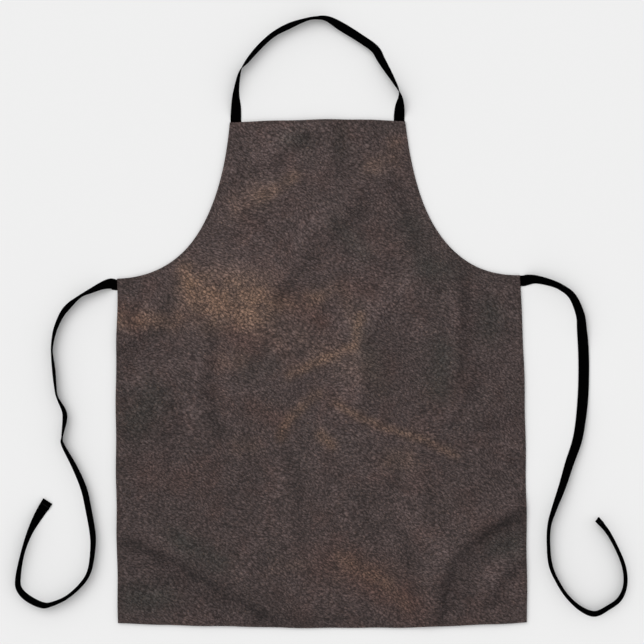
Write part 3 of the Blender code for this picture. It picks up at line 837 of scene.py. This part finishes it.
def grain_leather(colours, groups):
    """Waxed, pebbled grain side: dye clouds, placed rubs, painted fold shade and highlight, painted grain
    highlights, dark valleys and pale specks.
    """
    made, tree, shader = new_material("grain_leather", 0.62, 0.22)
    place = object_place(tree)
    grain = placed_group(tree, groups["grain"], place)
    clouds = placed_group(tree, groups["clouds"], place)
    hide = (*colours.hide, 1.0)
    russet_share = math_node(tree, "MULTIPLY_ADD", clouds.outputs["Russet"], 0.18,
                             math_node(tree, "MULTIPLY", attribute_value(tree, "warm"), 0.60), clamp=True)
    skin = mix_node(tree, russet_share, hide, (*colours.russet, 1.0))
    cool_share = math_node(tree, "MULTIPLY_ADD", clouds.outputs["Cool"], 0.12,
                           math_node(tree, "MULTIPLY", attribute_value(tree, "cool"), 0.75), clamp=True)
    skin = mix_node(tree, cool_share, skin, (*colours.cool, 1.0))
    patchy = ramp_node(tree, clouds.outputs["Tone"], 0.30, 0.62, 0.60, 1.12)
    rub = math_node(tree, "MULTIPLY", attribute_value(tree, "rub"), patchy)
    rub = math_node(tree, "MULTIPLY", rub, ramp_node(tree, grain.outputs["Valley"], 0.2, 1.0, 1.0, 0.75))
    skin = mix_node(tree, math_node(tree, "MULTIPLY", rub, 0.52, clamp=True), skin, (*colours.rubbed, 1.0))
    specks = math_node(tree, "MULTIPLY", grain.outputs["Speck"], 0.30)
    skin = mix_node(tree, specks, skin, (*colours.rubbed, 1.0))
    valley = math_node(tree, "MULTIPLY", grain.outputs["Valley"], 0.58)
    skin = mix_node(tree, valley, skin, (*colours.crevice, 1.0))
    # The dye clouds and the cells add random tone; the grain's streaks add painted highlight on its ridges.
    # The tone attribute is painted shade on the folds' creases and painted highlight on their ridges.
    tone = math_node(tree, "MULTIPLY_ADD", attribute_value(tree, "tone"), 0.52, 1.05)
    for shift in (ramp_node(tree, clouds.outputs["Tone"], 0.25, 0.75, 0.86, 1.14),
                  math_node(tree, "MULTIPLY_ADD", grain.outputs["Cell tone"], 0.30, 0.85),
                  math_node(tree, "MULTIPLY_ADD", grain.outputs["Streak highlight"], 0.98, 0.58)):
        tone = math_node(tree, "MULTIPLY", tone, shift)
    shade = tree.nodes.new("ShaderNodeCombineColor")
    for channel in shade.inputs:
        connect(tree, channel, tone)
    skin = mix_node(tree, 1.0, skin, shade.outputs[0], "MULTIPLY")
    connect(tree, shader.inputs["Base Color"], skin)
    roughness = ramp_node(tree, grain.outputs["Valley"], 0.0, 1.0, 0.54, 0.78)
    connect(tree, shader.inputs["Roughness"], roughness)
    bump(tree, shader, grain.outputs["Height"], 0.0009)
    return made


def flesh_leather(name, base, groups, depth=0.0003):
    """Napped back or raw cut edge: one colour lightened and darkened by the nap."""
    made, tree, shader = new_material(name, 0.92, 0.12)
    nap = placed_group(tree, groups["nap"], object_place(tree))
    dark = tuple(channel * 0.74 for channel in base)
    light = tuple(min(1.0, channel * 1.20) for channel in base)
    share = ramp_node(tree, nap.outputs["Tone"], 0.32, 0.66)
    connect(tree, shader.inputs["Base Color"], mix_node(tree, share, (*dark, 1.0), (*light, 1.0)))
    bump(tree, shader, nap.outputs["Height"], depth)
    return made


def black_tape(colours, groups):
    """Black cotton twill: near-black yarns, a touch paler where they stand up, a painted highlight on the
    raised yarns.
    """
    made, tree, shader = new_material("tape_twill", 0.9, 0.0)
    uv = tree.nodes.new("ShaderNodeUVMap")
    uv.uv_map = "tape"
    weave = placed_group(tree, groups["twill"], uv.outputs["UV"])
    # Lit and shaded copies of the black, mixed by the weave's height: painted highlight on raised yarns,
    # painted shade between
    dark = tuple(channel * 0.45 for channel in colours.tape)
    light = tuple(channel * 2.2 for channel in colours.tape)
    shade = mix_node(tree, weave.outputs["Yarn highlight"], (*dark, 1.0), (*light, 1.0))
    connect(tree, shader.inputs["Base Color"], shade)
    bump(tree, shader, weave.outputs["Height"], 0.00012)
    return made


def sewing_thread(name, base):
    """Dark bonded thread: fine twist lines, paler where they stand up as a painted highlight."""
    made, tree, shader = new_material(name, 0.6, 0.25)
    place = object_place(tree)
    twist = noise_node(tree, place, 1800.0, 2.0, 0.6)
    # Lit and shaded copies of the thread colour, mixed by the noise that raises the twist: painted highlight
    # and shade
    dark = tuple(channel * 0.7 for channel in base)
    light = tuple(channel * 1.35 for channel in base)
    shade = mix_node(tree, twist.outputs["Fac"], (*dark, 1.0), (*light, 1.0))
    connect(tree, shader.inputs["Base Color"], shade)
    bump(tree, shader, twist.outputs["Fac"], 0.00015)
    return made


def table_top(colours):
    """Plain pale matte surface."""
    made, _, shader = new_material("table_top", 1.0, 0.0)
    shader.inputs["Base Color"].default_value = (*colours.table, 1.0)
    return made


def finish(name):
    """A finish by name, made once and shared by every piece that wears it."""
    if name in bpy.data.materials:
        return bpy.data.materials[name]
    colours = bpy.context.scene.apron_colours
    groups = {}
    for key, label, build in (("grain", "Pebbled grain", pebbled_grain_group),
                              ("clouds", "Dye clouds", dye_cloud_group),
                              ("nap", "Brushed nap", nap_group),
                              ("twill", "Twill weave", twill_group)):
        groups[key] = bpy.data.node_groups.get(label) or build()
    makers = {
        "grain_leather": lambda: grain_leather(colours, groups),
        "flesh_leather": lambda: flesh_leather("flesh_leather", tuple(colours.flesh), groups),
        "cut_leather": lambda: flesh_leather("cut_leather", tuple(colours.cut), groups),
        "tape_twill": lambda: black_tape(colours, groups),
        "sewing_thread": lambda: sewing_thread("sewing_thread", colours.thread),
        "black_thread": lambda: sewing_thread("black_thread", colours.tape),
        "table_top": lambda: table_top(colours),
    }
    return makers[name]()


# ---------------------------------------------------------------- leather panel


def hem_section(sizes):
    """The hem's section from the skin over the folded edge to the raw edge below: inset and height rows.

    The outer edge is a half round of two layers; a shallow groove holds the stitches on both faces.
    """
    top = 2 * sizes.leather
    inset = sizes.stitch_inset
    radius = sizes.leather
    rows = [(sizes.hem, top), (sizes.hem * 0.8, top), (sizes.hem * 0.6, top)]
    groove = ((1.1, 0.0), (0.5, 0.00006), (0.0, 0.00016), (-0.5, 0.00006), (-1.1, 0.0))
    rows += [(inset + step * 0.001, top - depth) for step, depth in groove]
    for angle in np.linspace(math.pi / 2, -math.pi / 2, 9):
        rows.append((radius * (1 - math.cos(angle)), radius * (1 + math.sin(angle))))
    rows += [(inset + step * 0.001, depth * 3.0) for step, depth in groove[::-1]]
    rows += [(sizes.hem * 0.6, 0.0), (sizes.hem * 0.9, 0.0), (sizes.hem * 0.97, 0.0001)]
    cut_from = len(rows) - 1
    rows += [(sizes.hem, 0.0004), (sizes.hem, sizes.leather)]
    return np.array(rows), cut_from


def patch(bottom, right, top, left):
    """Grid between four edges: the blend of each pair of facing edges less that of the four corners."""
    u = np.linspace(0.0, 1.0, len(bottom))[None, :, None]
    v = np.linspace(0.0, 1.0, len(right))[:, None, None]
    across = (1 - u) * left[:, None] + u * right[:, None]
    upward = (1 - v) * bottom[None] + v * top[None]
    corners = (1 - v) * ((1 - u) * bottom[0] + u * bottom[-1]) + v * ((1 - u) * top[0] + u * top[-1])
    return across + upward - corners


def inner_patches(inset):
    """The two grids inside the hem: the skirt with the armholes' lower stretch, and the bib above it."""
    right = inset["armhole_right"]
    left = inset["armhole_left"][::-1]
    chord = evenly(np.array((left[WAIST_COLUMNS], right[WAIST_COLUMNS])), BIB_COLUMNS)
    shoulder = np.concatenate((left[:WAIST_COLUMNS], chord, right[:WAIST_COLUMNS][::-1]))
    skirt = patch(inset["bottom"], inset["side_right"], shoulder, inset["side_left"][::-1])
    bib = patch(chord, right[WAIST_COLUMNS:], inset["top"][::-1], left[WAIST_COLUMNS:])
    return skirt, bib


def panel_mesh(sizes):
    """Points, quads and material numbers of the panel, flat on its pattern.

    The hem's section is carried round the outline, and a grid on each face fills the space inside it.
    """
    section, cut_from = hem_section(sizes)
    hem = np.stack([closed_outline(inset_edges(inset)) for inset in section[:, 0]])
    count = hem.shape[1]
    hem = np.concatenate((hem, np.broadcast_to(section[:, 1:, None], (len(section), count, 1))), axis=2)
    points = [hem.reshape(-1, 3)]
    quads = [tube_quads(len(section), count)[:, ::-1]]
    station = np.repeat(np.arange(len(section) - 1), count)
    slots = [np.where(station >= cut_from, 2, 0)]
    start = hem.size // 3
    for grid in inner_patches(inset_edges(sizes.hem)):
        rows, columns = grid.shape[:2]
        flat = grid.reshape(-1, 2)
        for height, slot in ((2 * sizes.leather, 0), (sizes.leather, 1)):
            points.append(np.column_stack((flat, np.full(len(flat), height))))
            faces = grid_quads(rows, columns, start)
            quads.append(faces if slot == 0 else faces[:, ::-1])
            slots.append(np.full(len(faces), slot))
            start += len(flat)
    points, quads = welded(np.concatenate(points), np.concatenate(quads))
    return points, quads, np.concatenate(slots)


def build_panel():
    """The leather panel, laid into its folds, with the places of its rubs, casts and painted fold shade and
    highlights stored on it.
    """
    sizes = bpy.context.scene.apron_sizes
    points, quads, slots = panel_mesh(sizes)
    x, y = points[:, 0], points[:, 1]
    looks = [finish("grain_leather"), finish("flesh_leather"), finish("cut_leather")]
    panel = add_piece("leather_panel", settle(points, sizes.tape), quads, looks, slots)
    add_attribute(panel, "rub", traces(x, y, RUBS))
    add_attribute(panel, "cool", traces(x, y, COOL_PATCHES))
    add_attribute(panel, "warm", traces(x, y, WARM_PATCHES))
    # The tone attribute holds painted shade on the folds' creases and painted highlight on their ridges
    add_attribute(panel, "tone", traces(x, y, PAINTED_FOLD_SHADE_AND_HIGHLIGHTS))
    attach(panel, "panel")
    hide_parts("apron_panel")


# ---------------------------------------------------------------- stitches


def stitch_run(path, pitch, thread, height, sign):
    """Short bowed stitches along a path of x, y rows: each a six-sided tube whose ends dive at the holes.

    Returns points and quads. height is the leather's face; sign is +1 for the front and -1 for the back.
    """
    walked = walked_length(path)
    count = max(1, int(round(walked[-1] / pitch)))
    step = walked[-1] / count
    stations = np.linspace(-0.5, 0.5, 6)
    sides = 6
    middle = (np.arange(count)[:, None] + 0.5) * step
    at = np.clip(middle + stations[None] * step * SHARE_OF_PITCH_SEWN, 0.0, walked[-1])
    px, py = (np.interp(at, walked, column) for column in path.T)
    heading = np.arctan2(np.gradient(py, axis=1), np.gradient(px, axis=1))
    bow = 1 - np.abs(2 * stations) ** 3
    taper = (0.55 + 0.45 * bow)[None, :, None]
    rise = height + sign * thread * (0.62 * bow - 0.42)[None, :]
    angle = np.linspace(0.0, 2 * math.pi, sides, endpoint=False)[None, None]
    aside = thread / 2 * np.cos(angle) * taper
    raised = thread / 2 * 0.8 * np.sin(angle) * taper
    x = px[..., None] - np.sin(heading)[..., None] * aside
    y = py[..., None] + np.cos(heading)[..., None] * aside
    z = rise[..., None] + raised
    z = np.broadcast_to(z, x.shape)
    points = np.stack((x, y, z), axis=-1).reshape(-1, 3)
    one = tube_quads(len(stations), sides)
    caps = np.array(((0, 3, 2, 1), (0, 5, 4, 3)))
    ends = np.concatenate((caps, (caps + (len(stations) - 1) * sides)[:, ::-1]))
    one = np.concatenate((one, ends))
    per_stitch = len(stations) * sides
    quads = (one[None] + (np.arange(count) * per_stitch)[:, None, None]).reshape(-1, 4)
    return points, quads


def joined(parts):
    """Puts several (points, quads) pairs into one."""
    points, quads, start = [], [], 0
    for part_points, part_quads in parts:
        points.append(part_points)
        quads.append(part_quads + start)
        start += len(part_points)
    return np.concatenate(points), np.concatenate(quads)


def shortened(path, distance):
    """A point row shortened by a distance at both ends."""
    walked = walked_length(path)
    stops = walked[(walked > distance) & (walked < walked[-1] - distance)]
    stops = np.concatenate(([distance], stops, [walked[-1] - distance]))
    return np.column_stack([np.interp(stops, walked, column) for column in path.T])


def build_hem_stitching():
    """One row of stitches inside each of the panel's six edges, on both faces."""
    sizes = bpy.context.scene.apron_sizes
    for edge, path in inset_edges(sizes.stitch_inset).items():
        path = shortened(path, HEM_RUN_MARGIN)
        front = stitch_run(path, sizes.stitch_pitch, sizes.thread, 2 * sizes.leather - SEAT_IN_LEATHER, 1)
        back = stitch_run(path, sizes.stitch_pitch, sizes.thread, HEM_BACK_HEIGHT, -1)
        points, quads = joined((front, back))
        name = f"hem_stitching_{edge}"
        piece = add_piece(name, settle(points, sizes.tape), quads, [finish("sewing_thread")])
        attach(piece, "panel")
        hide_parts(f"hem_seam_{edge}")


def box_path(centre, along_y):
    """A rectangle and both diagonals, walked without lifting the thread."""
    wide, long = BOX_WIDTH / 2, BOX_LENGTH / 2
    corners = np.array(((-wide, -long), (wide, -long), (wide, long), (-wide, long), (-wide, -long),
                        (wide, long), (-wide, long), (wide, -long)))
    if not along_y:
        corners = corners[:, ::-1]
    return corners + np.array(centre)


def box_run(path, sizes, height, sign):
    """Stitches along every leg of a box path, at one face of the leather."""
    pitch = sizes.stitch_pitch * BOX_PITCH_SHARE
    legs = [evenly(np.array(leg), 12) for leg in zip(path[:-1], path[1:])]
    return joined([stitch_run(leg, pitch, sizes.thread, height, sign) for leg in legs])


def build_box_stitches():
    """Box-and-cross stitches that hold the four strap tails, on both faces."""
    sizes = bpy.context.scene.apron_sizes
    neck_y = TOP_CORNER_Y - BOX_START - BOX_LENGTH / 2
    tie_x = TIE_ROOT_X - BOX_START - BOX_LENGTH / 2
    for side, sign in (("left", -1), ("right", 1)):
        for strap, centre, along_y in (("neck", (sign * NECK_X, neck_y), True),
                                       ("tie", (sign * tie_x, TIE_Y), False)):
            path = box_path(centre, along_y)
            points, quads = box_run(path, sizes, 2 * sizes.leather, 1)
            front = settle(points, sizes.tape), quads
            points, quads = joined((front, box_run(path, sizes, BOX_BACK_HEIGHT, -1)))
            name = f"{strap}_box_stitching_{side}"
            piece = add_piece(name, points, quads, [finish("sewing_thread")])
            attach(piece, "panel")
            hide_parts(f"{strap}_box_stitch_{side}")


# ---------------------------------------------------------------- straps


def smooth_route(route, spacing):
    """Points evenly spaced along a Catmull-Rom curve through a route's own points."""
    knots = np.array(route, float)
    padded = np.vstack((2 * knots[0] - knots[1], knots, 2 * knots[-1] - knots[-2]))
    share = np.linspace(0.0, 1.0, 40, endpoint=False)[:, None]
    runs = []
    for step in range(len(knots) - 1):
        a, b, c, d = padded[step : step + 4]
        bend = (2 * a - 5 * b + 4 * c - d) * share**2 + (3 * b - a - 3 * c + d) * share**3
        runs.append(b + 0.5 * ((c - a) * share + bend))
    fine = np.vstack((*runs, knots[-1]))
    walked = walked_length(fine[:, :2])
    stops = np.linspace(0.0, walked[-1], int(round(walked[-1] / spacing)) + 1)
    return np.column_stack([np.interp(stops, walked, column) for column in fine.T])


def tape_frames(centres, tilts):
    """The tape's width, running and face directions at each point, tilted about its length."""
    along = np.gradient(centres, axis=0)
    along /= np.linalg.norm(along, axis=1)[:, None]
    level = np.cross((0.0, 0.0, 1.0), along)
    level /= np.linalg.norm(level, axis=1)[:, None]
    up = np.cross(along, level)
    turn = np.radians(tilts)[:, None]
    across = np.cos(turn) * level + np.sin(turn) * up
    return across, along, np.cross(along, across)


def tape_section(width, thickness):
    """A flat tape's section with round selvedges: rows of share across and share of thickness."""
    half = width / 2
    lip = thickness / 2
    face = ((-half + lip, lip), (-half * 0.6, lip * 0.86), (0.0, lip * 0.80), (half * 0.6, lip * 0.86),
            (half - lip, lip))
    edge = ((half - lip * 0.3, -lip * 0.7), (half, 0.0), (half - lip * 0.3, lip * 0.7))
    under = [(x, -z) for x, z in face]
    rows = [*under, *edge, *face[::-1], *((-x, -z) for x, z in edge)]
    return np.array(rows)


def tape_mesh(centres, tilts, thickness, tip_fold):
    """A tape's section carried along its centre line, tilted as it runs.

    Its middle is raised until its lowest corner touches the table. Over the last tip_fold metres the
    face that looks up grows by one more layer, the end of the tape turned back on itself.
    """
    section = tape_section(TAPE_WIDTH, thickness)
    across, _, face = tape_frames(centres, tilts)
    walked = walked_length(centres)
    turned = np.zeros(len(centres))
    if tip_fold:
        turned = np.clip((walked - (walked[-1] - tip_fold)) / TIP_FOLD_SLOPE, 0.0, 1.0)
    extra = turned[:, None] * thickness * TIP_FOLD_LAYERS * (section[None, :, 1] > 0)
    out = section[None, :, 1] + extra
    points = centres[:, None] + across[:, None] * section[None, :, :1] + face[:, None] * out[..., None]
    sides = len(section)
    rings = len(centres)
    quads = tube_quads(rings, sides)
    pairs = np.arange(sides // 2 - 1)
    cap = np.stack((pairs, pairs + 1, sides - 2 - pairs, sides - 1 - pairs), axis=1)
    last = cap[:, ::-1] + (rings - 1) * sides
    quads = np.concatenate((quads, cap[:, ::-1], last[:, ::-1]))
    uv = np.stack((np.broadcast_to(walked[:, None], out.shape),
                   np.broadcast_to(section[None, :, 0], out.shape)), axis=-1).reshape(-1, 2)
    return points.reshape(-1, 3), quads, uv


def resting_heights(tilts, thickness):
    """How high a tilted tape's middle is when its lowest corner touches the table."""
    turn = np.radians(tilts)
    return (np.abs(np.sin(turn)) * TAPE_WIDTH + np.abs(np.cos(turn)) * thickness) / 2 + TABLE_GAP


def strap_line(route, spacing, thickness):
    """Centre points and tilts of a strap that lies on the table along its route."""
    line = smooth_route(route, spacing)
    tilts = line[:, 2]
    return np.column_stack((line[:, :2], resting_heights(tilts, thickness))), tilts


def add_strap(name, centres, tilts, nodes, tip_fold=0.0):
    """Makes one tape from its sewn tail to its other end."""
    sizes = bpy.context.scene.apron_sizes
    points, quads, uv = tape_mesh(centres, tilts, sizes.tape, tip_fold)
    strap = add_piece(name, points, quads, [finish("tape_twill")])
    add_uv(strap, uv)
    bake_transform(strap)
    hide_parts(*nodes)


def build_neck_strap():
    """The neck strap in one length, from the left sewn tail over the loop to the right one."""
    sizes = bpy.context.scene.apron_sizes
    inner_y = NECK_ROOT_Y - TAIL_LENGTH
    route = (
        (-NECK_X, inner_y, 0.0),
        (-NECK_X, NECK_ROOT_Y, 0.0),
        (-NECK_X, NECK_ROOT_Y + ROOT_STUB, 0.0),
        *((x, NECK_ROOT_Y + rise, tilt) for x, rise, tilt in NECK_ROUTE),
        (NECK_X, NECK_ROOT_Y + ROOT_STUB, 0.0),
        (NECK_X, NECK_ROOT_Y, 0.0),
        (NECK_X, inner_y, 0.0),
    )
    centres, tilts = strap_line(route, STRAP_SPACING, sizes.tape)
    nodes = ("neck_strap", "neck_strap_tail_left", "neck_strap_tail_right")
    add_strap("neck_strap_tape", centres, tilts, nodes)


def build_waist_ties():
    """Each waist tie in one length from its sewn tail to its tip, with the tip's row of stitches."""
    sizes = bpy.context.scene.apron_sizes
    for side, sign, free in (("left", -1, LEFT_TIE_ROUTE), ("right", 1, RIGHT_TIE_ROUTE)):
        root_x = sign * TIE_ROOT_X
        route = (
            (root_x - sign * TAIL_LENGTH, TIE_Y, 0.0),
            (root_x, TIE_Y, 0.0),
            (root_x + sign * ROOT_STUB, TIE_Y, 0.0),
            *((root_x + sign * out, TIE_Y + rise, tilt) for out, rise, tilt in free),
        )
        centres, tilts = strap_line(route, STRAP_SPACING, sizes.tape)
        body = f"tie_{side}"
        nodes = (f"waist_tie_{side}", f"waist_tie_tail_{side}")
        add_strap(f"waist_tie_tape_{side}", centres, tilts, nodes,
                  sizes.tip_fold)
        build_tip_stitches(side, centres, tilts, body, sizes)


def build_tip_stitches(side, centres, tilts, body, sizes):
    """A row of stitches across a tie's tip, on the layer that is turned back."""
    across, along, face = tape_frames(centres, tilts)
    walked = walked_length(centres)
    row = int(np.searchsorted(walked, walked[-1] - sizes.tip_fold + TIP_ROW_SETBACK))
    reach = TAPE_WIDTH / 2 - TIP_ROW_MARGIN
    flat = evenly(np.array(((-reach, 0.0), (reach, 0.0))), 12)
    runs = []
    for height, sign in ((sizes.tape * 1.36, 1), (-sizes.tape * 0.42, -1)):
        points, quads = stitch_run(flat, sizes.stitch_pitch * 0.8, sizes.thread, height, sign)
        placed = centres[row] + points @ np.array((across[row], along[row], face[row]))
        runs.append((placed, quads[:, ::-1]))
    points, quads = joined(runs)
    piece = add_piece(f"tie_tip_stitching_{side}", points, quads, [finish("black_thread")])
    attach(piece, body)
    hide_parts(f"tie_end_stitch_{side}")


# ---------------------------------------------------------------- stage


def build_stage():
    """Pale table, soft key light from the upper left, even fill, and the camera straight overhead."""
    corners = np.array(((-1.0, -1.0), (1.0, -1.0), (1.0, 1.0), (-1.0, 1.0))) * TABLE_REACH
    points = np.column_stack((corners, np.full(4, -TABLE_DROP)))
    table = add_piece("table", points, np.array(((0, 1, 2, 3),)), [finish("table_top")], smooth=False)

    key = bpy.data.lights.new("key", "SUN")
    key.energy = KEY_STRENGTH
    key.angle = KEY_SPREAD
    lamp = bpy.data.objects.new("key", key)
    lamp.rotation_euler = Vector(KEY_FROM).to_track_quat("Z", "Y").to_euler()
    bpy.context.scene.collection.objects.link(lamp)

    world = bpy.data.worlds.new("studio")
    world.use_nodes = True
    fill = world.node_tree.nodes["Background"]
    fill.inputs["Color"].default_value = (1.0, 1.0, 1.0, 1.0)
    fill.inputs["Strength"].default_value = FILL_STRENGTH
    bpy.context.scene.world = world

    lens = bpy.data.cameras.new("overhead")
    lens.sensor_width = SENSOR_WIDTH
    lens.lens = lens.sensor_width * CAMERA_HEIGHT / FRAME_WIDTH
    lens.clip_end = 100.0
    camera = bpy.data.objects.new("overhead", lens)
    roll = Matrix.Rotation(ROLL_OF_VIEW, 4, "Z")
    camera.matrix_world = Matrix.Translation((*FRAME_CENTRE, CAMERA_HEIGHT)) @ roll
    bpy.context.scene.collection.objects.link(camera)
    bpy.context.scene.camera = camera
    bpy.context.scene.view_settings.view_transform = "Standard"


# ---------------------------------------------------------------- add-on


class APRON_OT_leather_panel(Operator):
    """Add the hemmed leather panel"""

    bl_idname = "apron.leather_panel"
    bl_label = "Leather panel"

    def execute(self, context):
        build_panel()
        return {"FINISHED"}


class APRON_OT_hem_stitching(Operator):
    """Add the stitches along the six hems"""

    bl_idname = "apron.hem_stitching"
    bl_label = "Hem stitching"

    def execute(self, context):
        build_hem_stitching()
        return {"FINISHED"}


class APRON_OT_box_stitches(Operator):
    """Add the box stitches over the strap tails"""

    bl_idname = "apron.box_stitches"
    bl_label = "Box stitches"

    def execute(self, context):
        build_box_stitches()
        return {"FINISHED"}


class APRON_OT_neck_strap(Operator):
    """Add the neck strap"""

    bl_idname = "apron.neck_strap"
    bl_label = "Neck strap"

    def execute(self, context):
        build_neck_strap()
        return {"FINISHED"}


class APRON_OT_waist_ties(Operator):
    """Add both waist ties and their tip stitches"""

    bl_idname = "apron.waist_ties"
    bl_label = "Waist ties"

    def execute(self, context):
        build_waist_ties()
        return {"FINISHED"}


class APRON_OT_stage(Operator):
    """Add the table, the lights and the camera"""

    bl_idname = "apron.stage"
    bl_label = "Stage"

    def execute(self, context):
        build_stage()
        return {"FINISHED"}


class APRON_PT_sidebar(Panel):
    """Sizes, colours and pieces of the apron"""

    bl_label = "Welding apron"
    bl_idname = "APRON_PT_sidebar"
    bl_space_type = "VIEW_3D"
    bl_region_type = "UI"
    bl_category = "Apron"

    def draw(self, context):
        for group in (context.scene.apron_sizes, context.scene.apron_colours):
            column = self.layout.column()
            for name in group.__annotations__:
                column.prop(group, name)
        for operator in OPERATORS:
            self.layout.operator(operator.bl_idname)


OPERATORS = (
    APRON_OT_stage,
    APRON_OT_neck_strap,
    APRON_OT_waist_ties,
    APRON_OT_leather_panel,
    APRON_OT_hem_stitching,
    APRON_OT_box_stitches,
)
CLASSES = (ApronSizes, ApronColours, *OPERATORS, APRON_PT_sidebar)


def register():
    for made in CLASSES:
        bpy.utils.register_class(made)
    bpy.types.Scene.apron_sizes = PointerProperty(type=ApronSizes)
    bpy.types.Scene.apron_colours = PointerProperty(type=ApronColours)


def unregister():
    del bpy.types.Scene.apron_colours
    del bpy.types.Scene.apron_sizes
    for made in reversed(CLASSES):
        bpy.utils.unregister_class(made)


def main():
    register()
    for operator in OPERATORS:
        family, name = operator.bl_idname.split(".")
        getattr(getattr(bpy.ops, family), name)()


if __name__ == "__main__":
    main()
